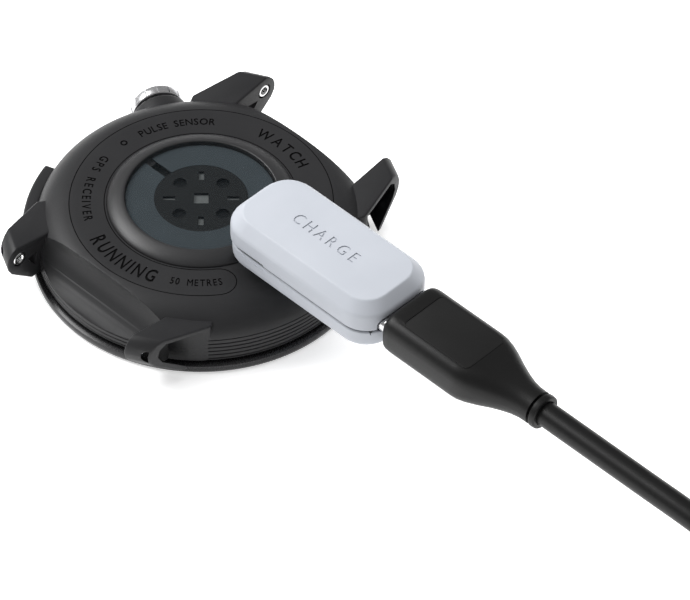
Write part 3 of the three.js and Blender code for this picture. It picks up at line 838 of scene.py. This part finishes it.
# printed coating under the glass: a ring with one narrow gap
ringLook = {"inner": 6.32, "outer": 10.1, "low": 9.84, "high": 10.03, "gap": 0.62}
printed = turned("printedRing", [(ringLook["inner"], ringLook["low"]), (ringLook["outer"], ringLook["low"]),
                                 (ringLook["outer"], ringLook["high"]),
                                 (ringLook["inner"], ringLook["high"]),
                                 (ringLook["inner"], ringLook["low"])], 128)
cut(printed, block("ringGap", (-11, -ringLook["gap"], 9), (-5, ringLook["gap"], 11)))
dress(printed, coatingGrey, "watch_case", "display_black")
smooth(printed, 35)

# black window with slots for the lamps
windowLook = {"radius": 6.3, "low": 9.82, "high": 10, "slot": (0.8, 0.36), "at": 4.3, "middle": 0.98,
              "diodeAt": 4.1, "diodeEye": 0.92}


def makeWindow():
    look = windowLook
    plate = turned("sensorWindow", [(0, look["low"]), (look["radius"], look["low"]),
                                    (look["radius"], look["high"]), (0, look["high"])], 96)
    along, across = look["slot"]
    for i in range(4):
        slot = block("lampSlot", (look["at"] - along, -across, 9.3), (look["at"] + along, across, 10.2))
        turn(slot, 45 + 90 * i)
        cut(plate, slot)
    middle = look["middle"]
    centre = block("middleSlot", (-middle, -middle, 9.3), (middle, middle, 10.2))
    turn(centre, 45)
    cut(plate, centre)
    for i in range(4):
        eye = turned("diodeEye", [(0, 9.3), (look["diodeEye"], 9.3), (look["diodeEye"], 10.2), (0, 10.2)], 32)
        move(eye, look["diodeAt"])
        turn(eye, 90 * i)
        cut(plate, eye)
    return plate


window = dress(makeWindow(), windowBlack, "watch_case", "display_black")
smooth(window, 35)
report("sensor shaped")


# display end of the case and the pin bushings

bezelProfile = [(17.75, 0.6), (18.2, 0.35), (20.6, 0.08), (22.3, 0.06), (22.68, 0.16), (22.9, 0.38),
                (22.98, 0.7), (22.98, 1.1), (22.88, 1.34), (22.6, 1.5), (22.2, 1.55), (20.9, 1.55),
                (20.9, 1.3), (17.75, 1.3), (17.75, 0.6)]
bezel = dress(turned("bezelRing", bezelProfile, 160), bezelCoating, "watch_case", "bezel_coating",
              "bezel_ring")
smooth(bezel, 35)
bushingLook = {"inner": 0.52, "outer": 1.0, "edge": 0.14}


def makeBushing(name, low, high):
    look = bushingLook
    inner, outer, edge = look["inner"], look["outer"], look["edge"]
    span = high[0] - low[0]
    piece = turned(name, [(inner, edge), (inner + edge, 0), (outer - edge, 0), (outer, edge),
                          (outer, span - edge), (outer - edge, span), (inner + edge, span),
                          (inner, span - edge), (inner, edge)], 40)
    piece.rotation_euler = (0, math.pi / 2, 0)
    piece.location = (low[0] * mm, (low[1] + high[1]) / 2 * mm, (low[2] + high[2]) / 2 * mm)
    settle(piece)
    dress(piece, bushingSteel, "watch_case", "bushing_steel", name)
    smooth(piece, 40)


def cadBoxOf(name):
    low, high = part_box(name)
    return [v / mm for v in low], [v / mm for v in high]


for number in (1, 2, 3, 4):
    low, high = cadBoxOf("lug_bushing_%d" % number)
    makeBushing("lug_bushing_%d" % number, low, high)


# crown: notched silver ring and a turned end plate

crownLook = {"inner": 2.7, "radius": 3.75, "start": 23.45, "end": 25.3,
             "notches": 14, "notch": 0.11}


def lieAlong(piece, angle, height):
    # a piece turned about Z laid down to point outwards at an angle
    piece.rotation_euler = (0, math.pi / 2, 0)
    pick(piece)
    bpy.ops.object.transform_apply(location=True, rotation=True, scale=True)
    move(piece, z=height)
    turn(piece, angle)


def makeCrown():
    look = crownLook
    inner, radius, start, end = look["inner"], look["radius"], look["start"], look["end"]
    profile = [(inner, start), (3.3, start), (3.62, start + 0.12), (radius, start + 0.34),
               (radius, end - 0.55), (3.66, end - 0.28), (3.46, end - 0.09), (3.2, end), (2.9, end),
               (inner, end - 0.12), (inner, start)]
    ring = turned("crownRing", profile, 112)
    for i in range(look["notches"]):
        notch = block("crownNotch", (3.5, -look["notch"], start + 0.2), (4.2, look["notch"], end + 0.2))
        turn(notch, 360 / look["notches"] * i)
        cut(ring, notch)
    lieAlong(ring, caseLook["crownAngle"], caseLook["keyHeight"])
    dress(ring, crownSilver, "crown", "crown_silver", "crown_grip_ring")
    smooth(ring, 32)
    plate = turned("crownPlate", [(0, 24.65), (2.5, 24.65), (2.58, 24.72), (2.58, 25.22), (2.48, 25.34),
                                  (2.1, 25.38), (2.02, 25.3), (1.86, 25.3), (1.78, 25.4), (0, 25.43)], 72)
    lieAlong(plate, caseLook["crownAngle"], caseLook["keyHeight"])
    dress(plate, displayBlack, "crown", "display_black", "crown_end_plate")
    smooth(plate, 32)


makeCrown()

buttonLook = {"outer": 24.08, "inner": 22.15, "half": 12.9, "low": 2.75, "tall": 2.7, "edge": 0.5}


def makeButton():
    look = buttonLook
    half = look["half"]
    plan = arc((0, 0), look["outer"], -half, half, 22) + arc((0, 0), look["inner"], half, -half, 22)
    cap = prism("buttonCap", flat(plan, look["low"]), look["tall"])
    soften(cap, look["edge"], 4, 40)
    turn(cap, caseLook["buttonAngle"])
    return cap


buttonCap = makeButton()
dress(buttonCap, casePolymer, "back_button", "case_polymer", "button_cap")
smooth(buttonCap, 35)
report("crown and button shaped")


# charging adapter

adapterLook = {
    "x0": 9.75, "x1": 37.35, "side": 6.65, "top": 18.98,
    "levels": [
        # height, inset from the side, corner
        (18.98, 1.62, 3.1), (18.95, 1.5, 3.2), (18.86, 1.38, 3.3), (18.7, 1.26, 3.35), (17.6, 0.3, 4.05),
        (17.4, 0.14, 4.2), (17.15, 0.04, 4.28), (16.9, 0, 4.3), (14.9, 0, 4.3), (14.75, 0.1, 4.2),
    ],
    "lower": [
        (14.25, 0.34, 4.06), (14.1, 0.2, 4.2), (12.7, 0.2, 4.2), (12.2, 0.26, 4.14), (11.8, 0.45, 4),
        (11.5, 0.75, 3.8), (11.32, 1.1, 3.5), (11.25, 1.5, 3.2),
    ],
    # from here on: first corner, second corner and corner radius of a rounded rectangle
    "hollow": (11.2, -5.3, 36.2, 5.3, 3.2), "noseHole": (13.75, -4.2, 17.05, 4.2, 1.4),
    "lip": (10.25, -6.15, 36.85, 6.15, 3.9), "lipHollow": (10.85, -5.55, 36.25, 5.55, 3.4),
    "socketRoom": (-4.9, -1.8, 4.9, 1.8, 0.5), "socketMouth": (-4.32, -1.42, 4.32, 1.42, 1.3),
    "grip": (12, 13.75, 18.6, 15.15, 0.65),
    "socketHeight": 15.26,
}


def stack(name, loops):
    # loops of the same number of points joined one to the next, both ends closed
    deselect()
    pieces = []
    for points in loops:
        loop = outline(name, points, closed=True)
        edit(loop, "FACE")
        bpy.ops.mesh.select_all(action="SELECT")
        bpy.ops.mesh.delete(type="ONLY_FACE")
        pick(loop)
        pieces.append(loop)
    whole = joinAll(pieces, name)
    edit(whole, "EDGE")
    bpy.ops.mesh.select_all(action="SELECT")
    bpy.ops.mesh.bridge_edge_loops()
    bpy.ops.mesh.select_all(action="DESELECT")
    bpy.ops.mesh.select_non_manifold()
    bpy.ops.mesh.edge_face_add()
    settle(whole)
    return whole


def adapterLoops(levels, steps=8):
    look = adapterLook
    return [flat(roundRect(look["x0"] + inset, -look["side"] + inset, look["x1"] - inset,
                           look["side"] - inset, corner, steps), z) for z, inset, corner in levels]


def adapterWords():
    # a plain word engraved along the top
    words, height, wide, x0, x1, depth = "CHARGE", 1.9, 0.86, 17.4, 29.4, 0.16
    found = []
    for i, sign in enumerate(words):
        mark = letter(sign, height, wide, depth)
        low, high = widthOf(mark)
        here = x0 + (x1 - x0) * (i + 0.5) / len(words)
        move(mark, here - (low + high) / 2 / mm, -height / 2 + 0.1, adapterLook["top"])
        found.append(mark)
    return found


def alongX(name, section, start, length):
    # a block with a rounded section, drawn out along X at the height of the socket
    middle = adapterLook["socketHeight"]
    points = [(start, y, middle + z) for y, z in roundRect(*section)]
    return prism(name, points, length, (1, 0, 0))


def makeAdapter():
    look = adapterLook
    upper = stack("adapterTop", adapterLoops(look["levels"]))
    cut(upper, prism("upperHollow", flat(roundRect(*look["hollow"]), 13), 3.8))
    lower = stack("adapterBottom", adapterLoops(look["lower"]))
    cut(lower, prism("lowerHollow", flat(roundRect(*look["hollow"]), 12.2), 3))
    cut(lower, prism("noseHole", flat(roundRect(*look["noseHole"]), 10), 4))
    for shell in (upper, lower):
        cut(shell, alongX("socketHole", look["socketRoom"], 28, 8.25))
        cut(shell, alongX("socketMouth", look["socketMouth"], 36, 3))
    grip = [(x, -6.4, z) for x, z in roundRect(*look["grip"])]
    for shell in (upper, lower):
        notch = prism("gripNotch", grip, 3, (0, -1, 0))
        cut(shell, notch)
    for mark in adapterWords():
        cut(upper, mark)
    # a lip between the two shells stands a little back from the seam; its dark plastic is painted shade that
    # darkens the seam
    lip = prism("seamLip", flat(roundRect(*look["lip"]), 13.6), 1.6)
    cut(lip, prism("lipHollow", flat(roundRect(*look["lipHollow"]), 13), 3))
    cut(lip, alongX("lipSocket", look["socketRoom"], 28, 10))
    dress(upper, adapterWhite, "charging_adapter", "adapter_white", "adapter_top_shell")
    dress(lower, adapterWhite, "charging_adapter", "adapter_white", "adapter_bottom_shell")
    # dark port plastic on the lip: painted shade in the seam between the two white shells
    dress(lip, portPlastic, "charging_adapter", "port_plastic")
    smooth(upper, 32)
    smooth(lower, 32)
    smooth(lip, 32)


makeAdapter()


socketLook = {"outer": (-4.7, -1.6, 4.7, 1.6, 0.45), "inner": (-4.5, -1.4, 4.5, 1.4, 0.3),
              "start": 28.35, "length": 7.8, "floor": 0.25}


def makeSocket():
    look = socketLook
    sleeve = alongX("usbSocket", look["outer"], look["start"], look["length"])
    cut(sleeve, alongX("socketRoom", look["inner"], look["start"] + look["floor"], 9))
    soften(sleeve, 0.05, 2, 40)
    dress(sleeve, plugSteel, "charging_adapter", "plug_steel", "usb_receptacle")
    smooth(sleeve, 35)


makeSocket()
report("adapter shaped")


# plugs: shell, overmould, printed panel and end collar, built once along +X and copied

plugLook = {
    "height": adapterLook["socketHeight"], "label": (40.8, 52.2, 3.75), "steps": 7,
    "stations": [
        # distance, half width, half height, corner
        (38.25, 4.5, 2.4, 1.85), (38.35, 4.8, 2.7, 2), (38.6, 5.04, 2.94, 2.13), (39, 5.16, 3.06, 2.19),
        (39.7, 5.2, 3.1, 2.2), (50.4, 5.2, 3.1, 2.2), (51.4, 5.15, 3.08, 2.25), (52.6, 4.9, 3.02, 2.4),
        (54, 4.4, 2.9, 2.5), (55.6, 3.7, 2.72, 2.55), (57.2, 3.05, 2.55, 2.45), (58.6, 2.6, 2.42, 2.36),
        (59.8, 2.4, 2.35, 2.32), (61.25, 2.34, 2.34, 2.3),
    ],
}


def plugParts(names, height):
    look = plugLook
    loops = []
    for x, wide, tall, corner in look["stations"]:
        section = roundRect(-wide, -tall, wide, tall, corner, look["steps"])
        loops.append([(x, y, height + z) for y, z in section])
    body = stack(names + "Body", loops)
    x0, x1, half = look["label"]
    tray = prism("labelTray", flat(roundRect(x0, -half, x1, half, 0.9), height + 2.98), 1)
    body.data.materials.clear()
    body.data.materials.append(plugBlack)
    cut(body, tray)
    label = prism(names + "Label", flat(roundRect(x0 + 0.05, -half + 0.05, x1 - 0.05, half - 0.05, 0.85),
                                        height + 2.94), 0.12)
    soften(label, 0.05, 2, 40)
    collarRing = turned(names + "Collar", [(1.78, 61.62), (2.3, 61.62), (2.4, 61.72), (2.42, 62.0),
                                           (2.36, 62.45), (2.2, 62.58), (1.78, 62.58), (1.78, 61.62)], 48)
    collarRing.rotation_euler = (0, math.pi / 2, 0)
    collarRing.location = (0, 0, height * mm)
    settle(collarRing)
    return body, label, collarRing


def plugShell(name, height, low, high):
    # folded metal sleeve, open at the mouth
    loops = []
    outer = (4.11, 1.19, 1.15)
    inner = (3.82, 0.9, 0.88)
    edges = [(low + 0.02, (3.9, 0.98, 0.95)), (low, (3.98, 1.06, 1.03)),
             (low + 0.14, outer), (high, outer)]
    for x, (wide, tall, corner) in edges:
        loops.append([(x, y, height + z) for y, z in roundRect(-wide, -tall, wide, tall, corner, 8)])
    shell = stack(name, loops)
    wide, tall, corner = inner
    bore = [(low - 1, y, height + z) for y, z in roundRect(-wide, -tall, wide, tall, corner, 8)]
    cut(shell, prism("mouth", bore, high - low - 0.6, (1, 0, 0)))
    tongue = block(name + "Tongue", (low + 0.9, -3.35, height - 0.35), (high - 0.8, 3.35, height + 0.35))
    soften(tongue, 0.12, 2, 40)
    return shell, tongue


def dressPlug(prefix, body, pieces):
    overmould, label, collarRing, shell, tongue = pieces
    dress(overmould, plugBlack, body, "plug_black", prefix + "plug_body")
    dress(label, labelBlack, body, "plug_black")
    dress(collarRing, plugBlack, body, "plug_black", prefix + "plug_strain_collar")
    dress(shell, plugSteel, body, "plug_steel", prefix + "plug_shell")
    dress(tongue, portPlastic, body, "plug_black")
    for piece in pieces:
        smooth(piece, 35)


nearPlug = (*plugParts("plug", plugLook["height"]), *plugShell("plugShell", plugLook["height"], 29.45, 37.9))
farStart = Vector((63.8, 32.1, 3.2 - plugLook["height"]))  # lays the second plug on the floor by the coil
farPieces = []
for piece in nearPlug:
    twin = copyOf(piece, "far" + piece.name[0].upper() + piece.name[1:])
    move(twin, *farStart)
    farPieces.append(twin)
core = rod("cableCore", 1.7, 60.6, 63.02, 0, plugLook["height"])
farCore = copyOf(core, "farCableCore")
move(farCore, *farStart)
farPieces.append(dress(farCore, cableJacket, "usb_cable", "cable_jacket"))
dress(core, cableJacket, "usb_cable", "cable_jacket")
smooth(core, 35)
smooth(farCore, 35)
dressPlug("", "usb_cable", nearPlug)
dressPlug("far_", "usb_cable", farPieces[:5])
report("plugs shaped")


# two straps hold the coil

tieLook = {"half": 3, "outer": (11.6, 0.08, 26.4, 7.86, 2), "inner": (11.92, 0.38, 26.08, 7.54, 1.72)}


def makeTie(name, angle, node):
    half = tieLook["half"]
    strap = prism(name, [(x, -half, z) for x, z in roundRect(*tieLook["outer"])], 2 * half, (0, 1, 0))
    room = prism("tieRoom", [(x, -half - 1, z) for x, z in roundRect(*tieLook["inner"])], 2 * half + 2,
                 (0, 1, 0))
    cut(strap, room)
    soften(strap, 0.1, 2, 40)
    turn(strap, angle)
    move(strap, *cable["coilCentre"])
    dress(strap, tieStrap, "usb_cable", "tie_strap", node)
    smooth(strap, 35)
    return strap


ties = [makeTie("coilTieA", -20, "coil_tie_1"), makeTie("coilTieB", 160, "coil_tie_2")]
report("coil tied")


# kept parts take their finishes

simpleLooks = {
    "bezel_ring": bezelCoating, "display_glass": displayGlass, "display_panel": displayBlack,
    "case_gasket": sealRubber, "display_frame": innerSteel,
    "main_board": boardGreen, "processor_shield": innerSteel, "gps_antenna": contactGold,
    "battery": batteryFoil, "vibration_motor": innerSteel, "sensor_collar": collarSatin,
    "sensor_glass": lensGlass, "sensor_board": windowBlack, "sensor_led_centre": ledWhite,
    "charging_port_block": portPlastic, "port_contacts": contactGold,
    "crown_bush": innerSteel, "crown_seal": sealRubber, "crown_switch": innerSteel,
    "crown_retaining_clip": innerSteel, "crown_grip_ring": crownSilver,
    "crown_end_plate": displayBlack, "crown_stem": innerSteel, "crown_encoder_wheel": innerSteel,
    "button_cap": casePolymer, "button_stem": innerSteel, "button_guide_pin_1": innerSteel,
    "button_guide_pin_2": innerSteel, "button_seal": sealRubber, "button_switch": innerSteel,
    "adapter_top_shell": adapterWhite, "adapter_bottom_shell": adapterWhite,
    "adapter_board": boardGreen, "adapter_contact_nose": adapterWhite,
    "adapter_spring_pins": contactGold, "usb_receptacle": plugSteel,
    "plug_shell": plugSteel, "plug_body": plugBlack, "plug_strain_collar": plugBlack,
    "far_plug_shell": plugSteel, "far_plug_body": plugBlack, "far_plug_strain_collar": plugBlack,
    "coil_tie_1": tieStrap, "coil_tie_2": tieStrap, "case_shell": casePolymer,
}
for i in range(1, 5):
    simpleLooks[f"lug_bushing_{i}"] = bushingSteel
    simpleLooks[f"sensor_led_{i}"] = ledWhite
    simpleLooks[f"photodiode_{i}"] = diodeLens
for name, material in simpleLooks.items():
    nodes[name].data.materials.clear()
    nodes[name].data.materials.append(material)
report("kept parts finished")
